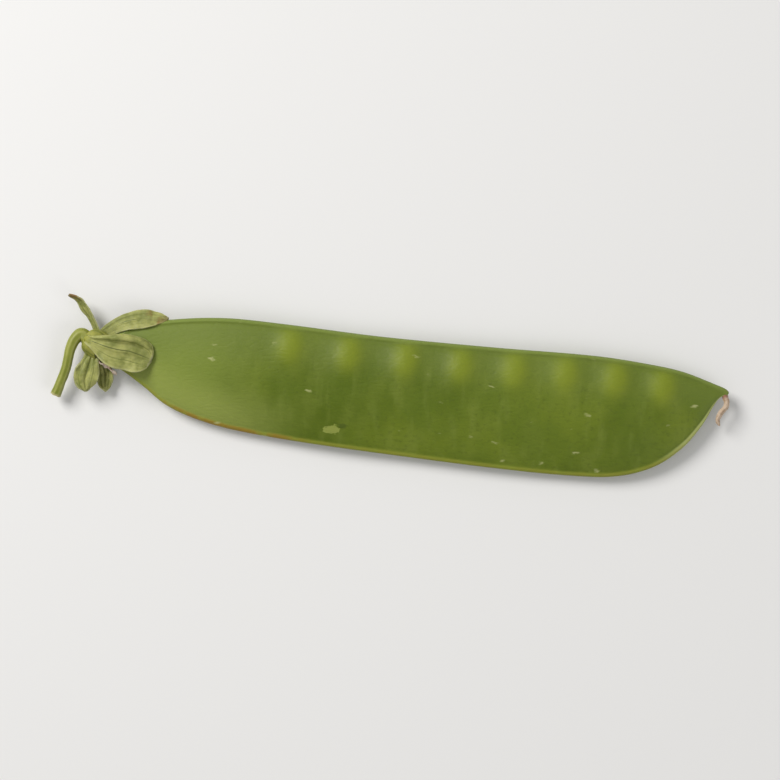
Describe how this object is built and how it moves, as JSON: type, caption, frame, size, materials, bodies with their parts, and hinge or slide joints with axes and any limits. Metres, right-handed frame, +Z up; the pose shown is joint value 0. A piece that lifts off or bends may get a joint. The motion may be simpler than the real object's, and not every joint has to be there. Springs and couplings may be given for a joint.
{
  "type": "snow pea pod",
  "caption": "Flat green snow pea pod lying on its side, with its leafy calyx, hooked stem, papery stamen remnant and dried curled style.",
  "frame": {"origin": "on the surface the pod lies on, under the middle of the whole, stem and style included", "axes": "+X along the pod from its stem to its tip, +Y towards the seed-bearing seam, +Z up, through the pod's thin side"},
  "size_m": [0.1364, 0.029, 0.0078],
  "materials": {
    "pod_skin": "satin",
    "calyx_green": "matte",
    "sepal_green": "matte",
    "stem_green": "satin",
    "dried_tissue": "matte"
  },
  "bodies": {
    "root": {"pod": "pod_skin", "calyx_cup": "calyx_green", "sepal_over_pod": "sepal_green", "sepal_along_seam": "sepal_green", "sepal_bent_back": "sepal_green", "sepal_under_stem": "sepal_green", "sepal_under_pod": "sepal_green", "stem": "stem_green", "stamen_sheath": "dried_tissue", "style": "dried_tissue"}
  },
  "joints": []
}
